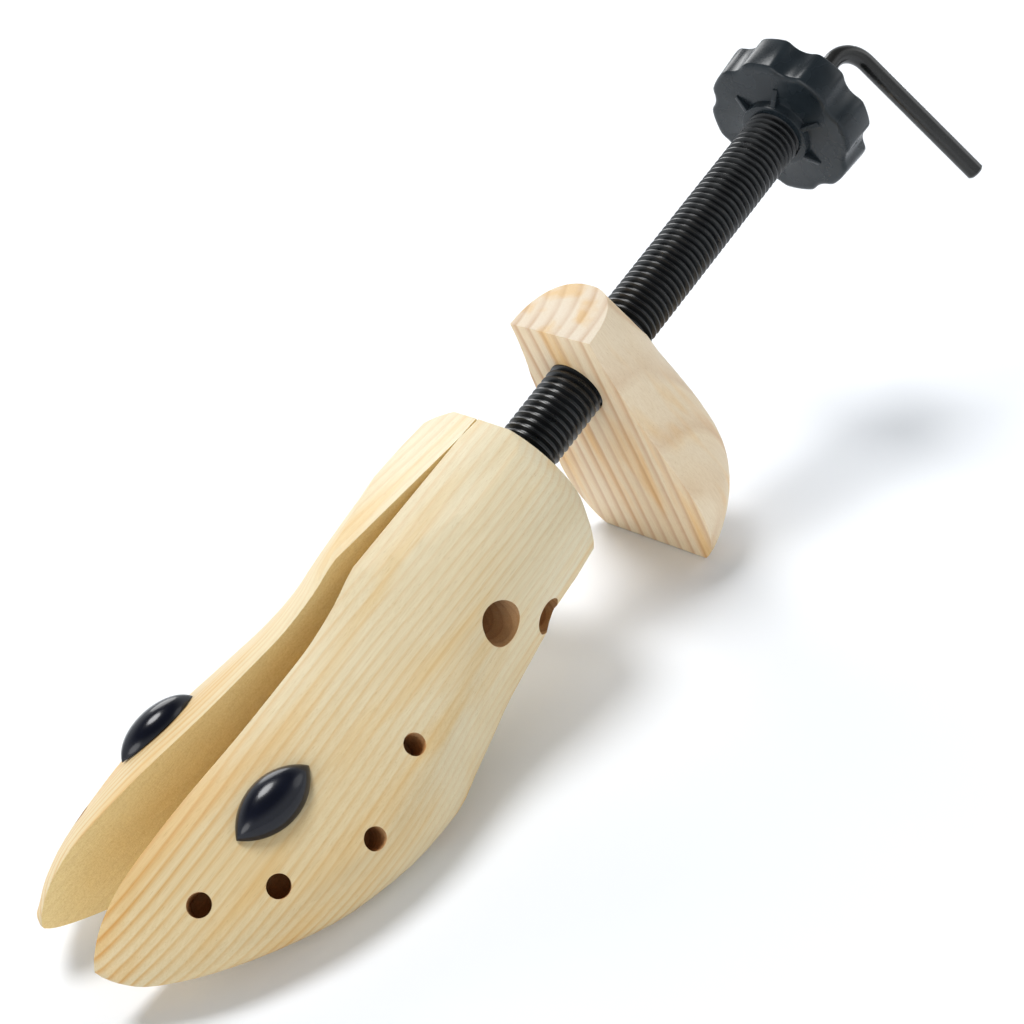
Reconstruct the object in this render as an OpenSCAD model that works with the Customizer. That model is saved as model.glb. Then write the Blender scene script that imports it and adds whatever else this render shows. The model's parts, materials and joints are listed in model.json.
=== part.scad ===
// Two-way shoe stretcher: a split wooden last that a screw rod spreads in width,
// and a wooden heel block that a threaded sleeve drives apart from it in length.
// Millimetres. The stretcher stands on its soles and on the foot of the heel block.
// Rod axes: X runs along the rod to the handle, from the line where the halves hinge.
// The last is drawn closed, as its left half, toe towards -X and outer side towards +Y.

/* [Stance] */
// Tilt of the rod above the floor, in degrees
rod_tilt = 20; // [18:0.5:22]
// Height of the rod above the floor at the hinge line
rod_height = 59; // [57:0.5:62]
// Angle that each half stands open at rest, in degrees
opening = 4.25; // [0:0.25:6.5]

/* [Toe halves] */
// Hinge line to toe tip
toe_reach = 178; // [170:1:186]
// Hinge line to the back face of the halves
rear_reach = 8; // [7:0.5:10]
// Width of both halves over the ball of the foot, closed
ball_w = 80.4; // [76:0.4:86]
// Diameter of the holes for the pressure plugs
plug_hole_d = 6.5; // [6:0.25:8]
// Depth of the holes for the pressure plugs
plug_hole_depth = 13; // [11:0.5:14]
// Angle cut off the inner faces behind the hinge line, in degrees
relief = 7.4; // [7.2:0.1:9]

/* [Pressure plugs] */
// Length of a pressure plug
plug_l = 27.5; // [24:0.5:32]
// Width of a pressure plug
plug_w = 15; // [12:0.5:17]
// Height of a pressure plug above the wood
plug_h = 7.5; // [5:0.5:9]
// Length of a pressure plug's stem
stem_l = 11; // [8:0.5:12]
// Turn of the plugs on their stems, in degrees
plug_turn = 8; // [-20:1:20]

/* [Sleeve and knob] */
// Outer diameter of the threaded sleeve
sleeve_d = 20; // [18:0.5:22]
// Bore of the sleeve behind its nose
sleeve_bore = 9; // [8:0.5:10]
// Diameter of the sleeve's smooth nose
nose_d = 15; // [14:0.25:16]
// Hinge line to the front face of the knob
knob_reach = 167.5; // [160:0.5:176]
// Knob diameter over the lobes, at its back
knob_d = 56.6; // [52:0.2:60]
// Knob diameter over the lobes, at its front
knob_front_d = 54.8; // [50:0.2:58]
// Thickness of the knob's rim
knob_t = 13.5; // [11:0.5:16]
// Number of lobes
knob_lobes = 8; // [6:1:9]
// Radius of the finger scallops
scallop_r = 9; // [7:0.5:10]
// Depth of the finger scallops
scallop_depth = 2.6; // [1.5:0.1:3.5]
// Width across the flats of the keyed sleeve end
key_af = 16.5; // [15:0.25:17]

/* [Heel block] */
// Hinge line to the front face of the heel block, on the rod axis
heel_reach = 44.2; // [34:0.1:90]
// Lean of the heel block's front face towards the handle, in degrees
heel_lean = 1.6; // [0:0.1:3]
// Height of the heel block above the rod axis
heel_top = 24; // [22:0.5:28]
// Width of the heel block at the top
heel_top_w = 33.4; // [30:0.2:38]
// Greatest width of the heel block
heel_belly_w = 62; // [56:0.5:66]
// Thickness of the heel block at the top
heel_top_t = 21.6; // [19:0.2:24]
// Greatest thickness of the heel block
heel_belly_t = 36; // [32:0.5:40]

/* [Spreader rod] */
// Rod diameter
rod_d = 6.35; // [6:0.05:6.5]
// Straight rod between the bush behind the knob and the handle's bend, at rest
handle_gap = 16; // [12:1:24]
// Length of the handle leg from the rod axis
hook_l = 67; // [56:1:76]
// Radius of the handle's bend, on the centre line
hook_bend_r = 10; // [8:0.5:13]
// Slope of the handle leg below the horizontal, in degrees
hook_slope = 54; // [40:1:70]
// Diameter of the rod's tip inside the wedge
tip_d = 5; // [4.5:0.25:5.5]

/* [Spreading wedge] */
// Width of the wedge at the middle of its flanks
wedge_w = 23; // [22:0.5:24]
// Length of the wedge along the rod
wedge_l = 16; // [14:0.5:17]
// Height of the wedge
wedge_h = 16; // [14:0.5:18]
// Slope of the wedge's flanks, in degrees
wedge_slope = 16.5; // [16:0.25:17]
// Hinge line to the middle of the wedge, halves closed
wedge_start = 62; // [61:0.5:63]
// Travel of the wedge from closed to fully open
wedge_travel = 28; // [27:0.5:28.5]
// Angle that each half reaches when fully open, in degrees
opening_max = 6.75; // [6.5:0.05:6.8]
// Thickness of the ramp plates
plate_t = 1.5; // [1.2:0.1:1.8]

/* [Barrel nut and return spring] */
// Hinge line to the barrel nut
barrel_reach = 41.5; // [41:0.25:42.5]
// Bore for the barrel nut, through each half
barrel_bore = 13.5; // [13:0.25:14]
// Length of the barrel nut
barrel_l = 33; // [28:0.5:36]
// Hinge line to the return spring
spring_reach = 27; // [26.5:0.25:27.5]
// Depth of the return spring below the rod axis
spring_drop = 17; // [16.5:0.25:18.5]
// Bore for the return spring, through each half
spring_bore = 11.5; // [10.5:0.25:12.5]
// Distance of the spring pins from the inner faces
pin_in = 22; // [20:0.5:24]
// Diameter of the spring pins
pin_d = 2.5; // [2:0.25:3]
// Mean diameter of the spring's coils
coil_d = 6; // [5:0.25:6.5]
// Wire of the return spring
wire_d = 0.9; // [0.7:0.05:1]
// Number of coils
coil_count = 20; // [14:1:22]

/* [Pivot collar] */
// Outer diameter of the pivot collar
collar_d = 24; // [22:0.5:24.5]
// Length of the pivot collar along the rod
collar_l = 9; // [8:0.25:9.5]
// Diameter of the trunnions that the halves hinge on
trunnion_d = 6; // [5:0.25:7]
// Reach of the trunnions above and below the rod axis
trunnion_reach = 20; // [18:0.5:21]

/* [Clearances] */
// Radial clearance of pieces that turn or slide in a bore
run_fit = 0.05; // [0.02:0.01:0.08]
// Gap between faces that move past each other
face_gap = 0.3; // [0.2:0.05:0.35]
// Gap between faces that stand against each other
seat_gap = 0.05; // [0.02:0.01:0.1]

/* [Hidden] */

$fn = 64;
pine = [0.90, 0.82, 0.64];
pine_heel = [0.88, 0.78, 0.61];
black_plastic = [0.13, 0.14, 0.15];
navy_plastic = [0.07, 0.08, 0.12];
black_steel = [0.10, 0.10, 0.10];
bright_steel = [0.70, 0.71, 0.72];
brass = [0.75, 0.62, 0.33];
big = 200;

// Outline of one half, station by station from the back face to the toe tip:
// place (share of rear_reach or toe_reach), half width (share of ball_w / 2),
// crown height, height of the widest line, lift of the sole above the floor,
// then the fullness of the shoulder, its drop, the fullness of the side and of the sole edge.
stations = [
    [-1.000, 0.655, 27.5, -2.0, 48.0, 0.50, 0.00, 0.50, 0.80],
    [-0.500, 0.750, 30.0, -2.5, 40.0, 0.50, 0.00, 0.50, 0.82],
    [ 0.056, 0.816, 31.0, -3.0, 30.0, 0.49, 0.00, 0.54, 0.81],
    [ 0.168, 0.816, 31.2, -3.4, 20.5, 0.46, 0.04, 0.47, 0.83],
    [ 0.292, 0.820, 30.0, -4.4, 11.5, 0.39, 0.07, 0.37, 0.87],
    [ 0.362, 0.851, 27.2, -4.5,  6.5, 0.35, 0.08, 0.31, 0.90],
    [ 0.435, 0.903, 25.8, -4.5,  2.5, 0.34, 0.09, 0.29, 0.93],
    [ 0.506, 0.968, 26.3, -4.4,  0.0, 0.34, 0.10, 0.27, 0.96],
    [ 0.618, 1.000, 27.7, -2.1,  0.0, 0.34, 0.10, 0.26, 0.96],
    [ 0.730, 0.923, 29.9,  2.8,  0.0, 0.35, 0.10, 0.25, 0.94],
    [ 0.815, 0.791, 30.8,  5.8,  2.6, 0.34, 0.10, 0.24, 0.91],
    [ 0.888, 0.632, 30.6,  8.5,  6.2, 0.34, 0.10, 0.25, 0.88],
    [ 0.944, 0.450, 27.8, 11.2,  9.6, 0.34, 0.08, 0.27, 0.84],
    [ 0.978, 0.286, 24.0, 13.5, 12.4, 0.37, 0.05, 0.31, 0.79],
    [ 0.994, 0.170, 21.2, 17.4, 14.4, 0.45, 0.02, 0.42, 0.72],
    [ 1.000, 0.050, 19.8, 19.0, 15.9, 0.50, 0.00, 0.50, 0.60]
];
station_steps = 3;
shoulder_steps = 11;
sole_steps = 8;

// Flat sanded across the instep: height at the hinge line and its two slopes
flat_height = 25.7;
flat_rise = 0.078;
flat_fall = 0.15;

// Plug holes: place along the stations, and place from the crown (0) to the widest line (1)
plug_holes = [[8.47, 0.37], [10.44, 0.48], [9.40, 0.68], [8.12, 0.86], [6.66, 0.73]];

// Heel block, level by level: height (share of heel_top, or of the way down to the foot),
// half width and thickness, each as a share of its greatest value
heel_levels = [
    [ 1.000, heel_top_w / heel_belly_w, heel_top_t / heel_belly_t],
    [ 0.600, 0.565, 0.680],
    [ 0.000, 0.655, 0.810],
    [-0.250, 0.780, 0.910],
    [-0.450, 0.920, 0.980],
    [-0.620, 1.000, 1.000],
    [-0.750, 0.990, 0.930],
    [-0.860, 0.920, 0.760],
    [-0.940, 0.830, 0.520],
    [-1.000, 0.700, 0.220]
];
heel_steps = 3;
heel_arc_steps = 28;
heel_fullness = 2.3;

function mix(a, b, f) = a + (b - a) * f;
function sq(a) = a * a;

// Smooth curve through the rows of a table, at row number r
function row_at(t, r) =
    let (i = min(floor(r), len(t) - 2), f = r - i,
         p0 = t[max(i - 1, 0)], p1 = t[i], p2 = t[i + 1], p3 = t[min(i + 2, len(t) - 1)])
    0.5 * (2 * p1 + (p2 - p0) * f + (2 * p0 - 5 * p1 + 4 * p2 - p3) * f * f
           + (3 * p1 - p0 - 3 * p2 + p3) * f * f * f);

// Cubic curve on four points
function curve(p, t) =
    pow(1 - t, 3) * p[0] + 3 * sq(1 - t) * t * p[1] + 3 * (1 - t) * sq(t) * p[2] + pow(t, 3) * p[3];

// Height, on the rod axes, of a level that stands lift above the floor
function level_z(x, lift) = (lift - rod_height - x * sin(rod_tilt)) / cos(rod_tilt);
function along(s) = s[0] < 0 ? s[0] * rear_reach : s[0] * toe_reach;
function half_w(s) = s[1] * ball_w / 2;
function sole_z(s, v) = level_z(-along(s) * cos(opening) + v * sin(opening), max(s[4], 0));
function shoulder_pt(s, t) =
    let (w = half_w(s), h = s[2] - s[3])
    curve([[0, s[2]], [s[5] * w, s[2] - s[6] * h], [w, s[3] + s[7] * h], [w, s[3]]], t);
function sole_pt(s, t) =
    let (w = half_w(s), low = sole_z(s, 0), h = s[3] - low,
         q = curve([[w, s[3]], [w, s[3] - s[8] * h], [s[8] * w, low], [0, low]], t),
         f = (s[3] - q[1]) / h)
    [q[0], mix(s[3], sole_z(s, q[0]), f)];
function section(s) = concat(
    [for (i = [0 : shoulder_steps]) let (p = shoulder_pt(s, i / shoulder_steps)) [-along(s), p[0], p[1]]],
    [for (i = [1 : sole_steps]) let (p = sole_pt(s, i / sole_steps)) [-along(s), p[0], p[1]]]);
function last_rings() =
    [for (r = [0 : 1 / station_steps : len(stations) - 1]) section(row_at(stations, r))];

// Place and outward direction on the shoulder of the left half, closed
function shoulder_at(h) =
    let (s = row_at(stations, h[0]), p = shoulder_pt(s, h[1])) [-along(s), p[0], p[1]];
function unit(v) = v / norm(v);
function shoulder_along(h) = unit(shoulder_at([h[0] + 0.05, h[1]]) - shoulder_at([h[0] - 0.05, h[1]]));
function shoulder_out(h) =
    unit(cross(shoulder_at([h[0], h[1] + 0.02]) - shoulder_at([h[0], h[1] - 0.02]), shoulder_along(h)));

// Rod axes to floor axes, and the shift that centres the whole stretcher over the origin
function floor_x(p) = p[0] * cos(rod_tilt) - p[2] * sin(rod_tilt);
function opened(p) =
    [p[0] * cos(opening) + p[1] * sin(opening), p[1] * cos(opening) - p[0] * sin(opening), p[2]];
toe_floor_x = min([for (ring = last_rings()) for (p = ring) floor_x(opened(p))]);
knob_rear = knob_reach + knob_t;
hub_rear_t = 4;
bush_t = 3;
hook_reach = knob_rear + hub_rear_t + bush_t + handle_gap + hook_bend_r;
leg_x = sin(hook_slope) * sin(rod_tilt);
hook_floor_x = floor_x([hook_reach, 0, -hook_l * sin(hook_slope)]) + rod_d / 2 * sqrt(1 - sq(leg_x));
hinge_x = -(toe_floor_x + hook_floor_x) / 2;

// Wedge place at an opening angle, and the path of its flank's middle on a half
wedge_reach = wedge_start + wedge_travel * opening / opening_max;
function angle_at(s) = opening_max * (s - wedge_start) / wedge_travel;
function cam_x(s) = -(s * cos(angle_at(s)) + wedge_w / 2 * sin(angle_at(s)));
function cam_y(s) = wedge_w / 2 * cos(angle_at(s)) - s * sin(angle_at(s));
plate_lead = 1;
plate_run_out = 0.8;
cam_first = wedge_start - wedge_l / 2 - plate_lead;
cam_last = wedge_start + wedge_travel + plate_run_out;
cam_steps = 10;
wedge_bear = 4;
nose_room = wedge_l / 2 - wedge_bear + face_gap;
function cam_path(depth) =
    [for (i = [0 : cam_steps]) let (s = mix(cam_first, cam_last, i / cam_steps))
        [cam_x(s), cam_y(s) + depth]];
plate_h = wedge_h + 2 * face_gap;
pocket_h = plate_h + 2 * seat_gap;

nose_reach = 8;
washer_t = 0.9;
clip_t = 1;
rod_channel_r = 5;
collar_pocket_r = collar_d / 2 + 1;
collar_pocket_x = collar_l / 2 + 1.6;
shoulder_x = collar_l / 2 + washer_t + 2 * seat_gap;
sleeve_channel_r = sleeve_d / 2 + 1.4;
hub_r = sleeve_d / 2 + 2.6;
hub_front_t = 3.2;
key_l = 12;
tip_l = wedge_l + 4;
sleeve_nose_bore = 7;

// Stand the rod axes on the floor
module on_floor() {
    translate([hinge_x, 0, rod_height]) rotate([0, -rod_tilt, 0]) children();
}

// Turn a piece of the left half out to its opening, and mirror it for the right half
module on_left() {
    on_floor() rotate([0, 0, -opening]) children();
}
module on_right() {
    on_floor() mirror([0, 1, 0]) rotate([0, 0, -opening]) children();
}

// Cylinder along the rod, from x0 to x1
module rod_cyl(d, x0, x1) {
    translate([x0, 0, 0]) rotate([0, 90, 0]) cylinder(h = x1 - x0, d = d);
}

// Frame on the surface at a plug hole: z out of the wood, x along the last
module at_hole(h) {
    n = shoulder_out(h);
    a = shoulder_along(h);
    b = cross(n, a);
    p = shoulder_at(h);
    multmatrix([[a[0], b[0], n[0], p[0]], [a[1], b[1], n[1], p[1]], [a[2], b[2], n[2], p[2]], [0, 0, 0, 1]])
        children();
}

// Solid through rings of equal point counts, counter-clockwise as seen from the last ring's side
module loft(rings) {
    n = len(rings[0]);
    m = len(rings);
    sides = [for (i = [0 : m - 2]) for (j = [0 : n - 1])
        let (k = (j + 1) % n, a = i * n + j, b = i * n + k, c = a + n, d = b + n)
        each [[a, d, b], [a, c, d]]];
    caps = [[for (j = [0 : n - 1]) j], [for (j = [n - 1 : -1 : 0]) (m - 1) * n + j]];
    polyhedron(points = [for (r = rings) each r], faces = concat(sides, caps), convexity = 8);
}

module last_body() {
    difference() {
        loft(last_rings());
        translate([0, 0, flat_height])
            rotate(a = atan(norm([flat_rise, flat_fall])), v = [-flat_fall, flat_rise, 0])
                translate([-big / 2, -big / 2, 0]) cube([big, big, 40]);
    }
}

module wedge_pocket() {
    path = cam_path(face_gap + plate_t + seat_gap);
    end_x = path[cam_steps][0] - nose_room;
    translate([0, 0, -pocket_h / 2]) linear_extrude(pocket_h)
        polygon(concat([[path[0][0], -1]], path, [[end_x, path[cam_steps][1]], [end_x, -1]]));
}

module last_half() {
    difference() {
        last_body();
        rotate([0, 0, relief]) translate([0, -20, -big / 2]) cube([big, 20, big]);
        rod_cyl(2 * sleeve_channel_r, 0, rear_reach + 5);
        rod_cyl(2 * collar_pocket_r, -collar_pocket_x, collar_pocket_x);
        rod_cyl(2 * (nose_d / 2 + 3), -nose_reach - 3, 0);
        rod_cyl(2 * rod_channel_r, -wedge_start - wedge_travel - wedge_l, 0);
        translate([0, 0, -trunnion_reach - face_gap])
            cylinder(h = 2 * (trunnion_reach + face_gap), d = trunnion_d + 2 * run_fit);
        translate([-barrel_reach, -1, 0]) rotate([-90, 0, 0]) cylinder(h = ball_w, d = barrel_bore);
        translate([-spring_reach, -1, -spring_drop]) rotate([-90, 0, 0]) cylinder(h = ball_w, d = spring_bore);
        translate([-spring_reach, pin_in, -big / 4])
            cylinder(h = big / 4 - spring_drop + spring_bore / 2 + pin_d, d = pin_d + 2 * seat_gap);
        wedge_pocket();
        screw_places() translate([0, 0, -1]) cylinder(h = screw_l + 2, d = screw_d + 2 * seat_gap);
        for (h = plug_holes) at_hole(h) translate([0, 0, -plug_hole_depth])
            cylinder(h = plug_hole_depth + 3, d = plug_hole_d);
    }
}

// Dome with an almond outline, drawn in under its widest edge, and a stem that pushes into a plug hole
plug_steps = 16;
plug_arc_steps = 12;
plug_fit = 0.05;
plug_tip_w = 0.25;
plug_end_angle = 88;
plug_roundness = 0.8;
plug_edge = 1.5;
plug_base = 0.84;
plug_arc_r = (sq(plug_l / 2) + sq(plug_w / 2)) / plug_w;
function plug_half_w(x) = max(sqrt(sq(plug_arc_r) - sq(x)) - plug_arc_r + plug_w / 2, plug_tip_w);
function plug_ring(x) =
    let (w = plug_half_w(x), f = pow(2 * w / plug_w, plug_roundness), edge = plug_edge * f)
    concat([for (i = [0 : plug_arc_steps]) let (a = 180 * i / plug_arc_steps)
                [x, w * cos(a), edge + (plug_h * f - edge) * sin(a)]],
           [[x, -w * plug_base, 0], [x, w * plug_base, 0]]);
module bunion_plug() {
    rings = [for (i = [0 : plug_steps])
        plug_ring(plug_l / 2 * sin(mix(-plug_end_angle, plug_end_angle, i / plug_steps)))];
    at_hole(plug_holes[0]) {
        rotate([0, 0, plug_turn]) translate([0, 0, plug_fit]) loft(rings);
        translate([0, 0, -stem_l]) cylinder(h = stem_l + 0.5, d = plug_hole_d - 2 * plug_fit);
    }
}

// Countersunk screws, square to the ramp
screw_d = 2.5;
screw_head_d = 5;
screw_l = 9;
screw_spots = [0.3, 0.75];
module screw_places() {
    for (f = screw_spots) {
        s = mix(cam_first, cam_last, f);
        slope = atan2(cam_y(s + 0.5) - cam_y(s - 0.5), cam_x(s + 0.5) - cam_x(s - 0.5));
        translate([cam_x(s), cam_y(s) + face_gap + seat_gap, 0])
            rotate([0, 0, slope + 180]) rotate([-90, 0, 0]) children();
    }
}
module ramp_screws() {
    screw_places() {
        cylinder(h = 1.2, d1 = screw_head_d, d2 = screw_d);
        translate([0, 0, 1.1]) cylinder(h = screw_l - 1.1, d = screw_d);
    }
}
module ramp_plate() {
    inner = cam_path(face_gap);
    outer = cam_path(face_gap + plate_t);
    difference() {
        translate([0, 0, -plate_h / 2]) linear_extrude(plate_h)
            polygon(concat(inner, [for (i = [cam_steps : -1 : 0]) outer[i]]));
        screw_places() {
            translate([0, 0, -0.5]) cylinder(h = 1.7 + seat_gap, d1 = screw_head_d + 2.3, d2 = screw_d + 2 * seat_gap);
            cylinder(h = screw_l, d = screw_d + 2 * seat_gap);
        }
    }
}
module spring_pin() {
    top = -spring_drop + spring_bore / 2 + pin_d - face_gap;
    foot = -spring_drop - spring_bore / 2 - 4;
    translate([-spring_reach, pin_in, foot]) cylinder(h = top - foot, d = pin_d);
}

// Rod-side pieces
foot_depth = 1;
lean = tan(heel_lean);
heel_foot = -(foot_depth + rod_height + heel_reach * sin(rod_tilt)) / (cos(rod_tilt) + lean * sin(rod_tilt));
function heel_front(z) = heel_reach + lean * z;
function heel_z(f) = f < 0 ? -f * heel_foot : f * heel_top;
function heel_ring(lv) =
    let (w = lv[1] * heel_belly_w / 2, t = lv[2] * heel_belly_t, z = heel_z(lv[0]))
    [for (i = [0 : heel_arc_steps]) let (a = 180 * i / heel_arc_steps, c = cos(a), s = sin(a))
        [heel_front(z) + t * pow(s, 2 / heel_fullness), w * sign(c) * pow(abs(c), 2 / heel_fullness), z]];
module heel_block() {
    rings = [for (r = [0 : 1 / heel_steps : len(heel_levels) - 1])
        heel_ring(row_at(heel_levels, r))];
    difference() {
        loft(rings);
        rod_cyl(sleeve_d + 2 * run_fit, heel_reach - 1, heel_reach + heel_belly_t + 5);
        rotate([0, rod_tilt, 0]) translate([0, -big / 2, -rod_height - 10]) cube([big, big, 10]);
    }
}

module threaded_sleeve() {
    difference() {
        union() {
            rod_cyl(sleeve_d, shoulder_x, knob_rear - key_l);
            rod_cyl(nose_d, -nose_reach, shoulder_x + 1);
            translate([knob_rear - key_l - 1, 0, 0]) rotate([0, 90, 0])
                cylinder(h = key_l + 1 - seat_gap, d = key_af / cos(30), $fn = 6);
        }
        rod_cyl(sleeve_bore, shoulder_x + 4, knob_rear + 1);
        rod_cyl(sleeve_nose_bore, -nose_reach - 1, shoulder_x + 5);
        clip_groove() rod_cyl(nose_d + 2, 0, clip_t + 2 * seat_gap);
    }
}
clip_inner_d = nose_d - 1.6;
module clip_groove() {
    translate([-collar_l / 2 - clip_t - 3 * seat_gap, 0, 0]) difference() {
        children();
        rod_cyl(clip_inner_d, -5, 5);
    }
}
module nose_clip() {
    translate([-collar_l / 2 - clip_t - 2 * seat_gap, 0, 0]) difference() {
        rod_cyl(nose_d + 4, 0, clip_t);
        rod_cyl(clip_inner_d + 2 * seat_gap, -1, clip_t + 1);
        translate([-1, -1.2, 0]) cube([clip_t + 2, 2.4, nose_d]);
    }
}
module sleeve_washer() {
    difference() {
        rod_cyl(nose_d + 6, collar_l / 2 + seat_gap, collar_l / 2 + seat_gap + washer_t);
        rod_cyl(nose_d + 2 * run_fit, 0, shoulder_x + 1);
    }
}
module pivot_collar() {
    difference() {
        union() {
            rod_cyl(collar_d, -collar_l / 2, collar_l / 2);
            translate([0, 0, -trunnion_reach]) cylinder(h = 2 * trunnion_reach, d = trunnion_d);
        }
        rod_cyl(nose_d + 2 * run_fit, -collar_l, collar_l);
    }
}

// Gusset between the knob's front face and its hub
module knob_rib() {
    rib_t = 1.8;
    rib_r = hub_r + 7;
    front = knob_reach - hub_front_t;
    translate([0, 0, -rib_t / 2]) linear_extrude(rib_t)
        polygon([[knob_reach + 1, hub_r - 1], [front, hub_r - 1], [front, hub_r + 1], [knob_reach - 0.4, rib_r],
                 [knob_reach + 1, rib_r]]);
}
module knob() {
    pitch_r = knob_d / 2 + scallop_r - scallop_depth;
    rib_count = 6;
    first_rib = 45;
    front = knob_reach - hub_front_t;
    difference() {
        union() {
            translate([knob_reach, 0, 0]) rotate([0, 90, 0]) cylinder(h = knob_t, d1 = knob_front_d, d2 = knob_d);
            rod_cyl(2 * hub_r, front, knob_rear + hub_rear_t);
            for (i = [0 : rib_count - 1]) rotate([first_rib + i * 360 / rib_count, 0, 0]) knob_rib();
        }
        for (i = [0 : knob_lobes - 1]) rotate([(i + 0.5) * 360 / knob_lobes, 0, 0])
            translate([knob_reach - 1, pitch_r, 0]) rotate([0, 90, 0]) cylinder(h = knob_t + 2, r = scallop_r);
        rod_cyl(sleeve_d + 2 * seat_gap, front - 1, knob_rear - key_l + seat_gap);
        translate([knob_reach, 0, 0]) rotate([0, 90, 0])
            cylinder(h = knob_t + seat_gap, d = (key_af + 2 * seat_gap) / cos(30), $fn = 6);
        rod_cyl(sleeve_bore, knob_reach, knob_rear + hub_rear_t + 1);
    }
}

// Bush in the back of the knob that the rod turns and slides in
module rod_bush() {
    difference() {
        union() {
            rod_cyl(sleeve_bore - 2 * seat_gap, knob_rear, knob_rear + hub_rear_t + seat_gap);
            rod_cyl(sleeve_bore + 5, knob_rear + hub_rear_t + seat_gap, knob_rear + hub_rear_t + bush_t);
        }
        rod_cyl(rod_d + 2 * run_fit, knob_rear - 1, knob_rear + hub_rear_t + bush_t + 1);
    }
}

module barrel_nut() {
    mid_l = 8;
    mid_d = barrel_bore - 1.7;
    end_d = barrel_bore - 4.9;
    taper_l = (barrel_l - mid_l) / 2;
    translate([-barrel_reach, 0, 0]) difference() {
        rotate([90, 0, 0]) union() {
            cylinder(h = mid_l, d = mid_d, center = true);
            for (k = [0, 1]) mirror([0, 0, k]) translate([0, 0, mid_l / 2])
                cylinder(h = taper_l, d1 = mid_d, d2 = end_d);
        }
        rod_cyl(rod_d + 2 * run_fit, -barrel_bore, barrel_bore);
    }
}

tip_end = -wedge_reach - tip_l + wedge_l / 2;
module spreader_rod() {
    groove_x = -wedge_reach - wedge_l / 2 - clip_t - 2 * seat_gap;
    rod_cyl(rod_d, -wedge_reach + wedge_l / 2 + seat_gap, hook_reach - hook_bend_r);
    difference() {
        rod_cyl(tip_d, tip_end, -wedge_reach + wedge_l / 2 + 1);
        difference() {
            rod_cyl(tip_d + 1, groove_x, groove_x + clip_t + seat_gap);
            rod_cyl(tip_d - 1.2, groove_x - 1, groove_x + clip_t + 1);
        }
    }
    rotate([hook_slope - 90, 0, 0]) translate([hook_reach, 0, 0]) {
        translate([-hook_bend_r, 0, -hook_bend_r]) rotate([90, 0, 0])
            rotate_extrude(angle = 90) translate([hook_bend_r, 0]) circle(d = rod_d);
        translate([0, 0, -hook_l]) cylinder(h = hook_l - hook_bend_r, d = rod_d);
    }
}
module tip_clip() {
    translate([-wedge_reach - wedge_l / 2 - clip_t - seat_gap, 0, 0]) difference() {
        rod_cyl(tip_d + 3.6, 0, clip_t - seat_gap);
        rod_cyl(tip_d - 1.2 + 2 * seat_gap, -1, clip_t + 1);
        translate([-1, -1, 0]) cube([clip_t + 2, 2, tip_d]);
    }
}

// Wedge with flanks that bear over their middle and are eased towards both ends
module spreader_wedge() {
    bear = wedge_bear;
    ease = 8;
    half = wedge_l / 2;
    steep = tan(wedge_slope + ease);
    flat = tan(wedge_slope - ease);
    flank = [[half, wedge_w / 2 + bear * tan(wedge_slope) + (half - bear) * flat],
             [bear, wedge_w / 2 + bear * tan(wedge_slope)],
             [-bear, wedge_w / 2 - bear * tan(wedge_slope)],
             [-half, wedge_w / 2 - bear * tan(wedge_slope) - (half - bear) * steep]];
    translate([-wedge_reach, 0, 0]) difference() {
        translate([0, 0, -wedge_h / 2]) linear_extrude(wedge_h)
            polygon(concat(flank, [for (i = [3 : -1 : 0]) [flank[i][0], -flank[i][1]]]));
        rod_cyl(tip_d + 2 * run_fit, -wedge_l, wedge_l);
    }
}

// Return spring: close coils across the slot, and a hook round the pin at each end
wire_sides = 6;
coil_points = 8;
pin_y = -(-spring_reach) * sin(opening) + pin_in * cos(opening);
pin_x = -spring_reach * cos(opening) + pin_in * sin(opening);
hook_ring_r = pin_d / 2 + wire_d / 2 + 0.15;
coil_half = pin_y - 2 * hook_ring_r - 2.2;
coil_pitch = 2 * coil_half / coil_count;
function coil_pt(i) =
    let (a = 360 * i / coil_points, y = coil_pitch * i / coil_points - coil_half)
    [coil_d / 2 * cos(a), y, coil_d / 2 * sin(a)];
function hook_pts(side) =
    [for (a = [-60 : 30 : 210]) [hook_ring_r * cos(a), side * (pin_y + hook_ring_r * sin(a)), 0]];
function flip(l) = [for (i = [len(l) - 1 : -1 : 0]) l[i]];
spring_path = concat(flip([for (p = hook_pts(-1)) p]),
                     [for (i = [0 : coil_count * coil_points]) coil_pt(i)],
                     [for (p = flip(hook_pts(1))) p]);
function path_dir(p, i) = unit(p[min(i + 1, len(p) - 1)] - p[max(i - 1, 0)]);
// Side direction carried along the path without twist
function side_dirs(p) = [for (i = 0, d = path_dir(p, 0), n = unit(cross(d, [0.1, 0.3, 1]));
                              i < len(p);
                              i = i + 1,
                              d = path_dir(p, min(i, len(p) - 1)),
                              n = unit(n - (n * d) * d)) n];
module wire(p, d) {
    n = side_dirs(p);
    rings = [for (i = [0 : len(p) - 1]) let (t = path_dir(p, i), b = cross(t, n[i]))
        [for (k = [0 : wire_sides - 1]) let (a = 360 * k / wire_sides)
            p[i] + d / 2 * (cos(a) * n[i] + sin(a) * b)]];
    loft(rings);
}
module return_spring() {
    translate([pin_x, 0, -spring_drop]) wire(spring_path, wire_d);
}

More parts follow.
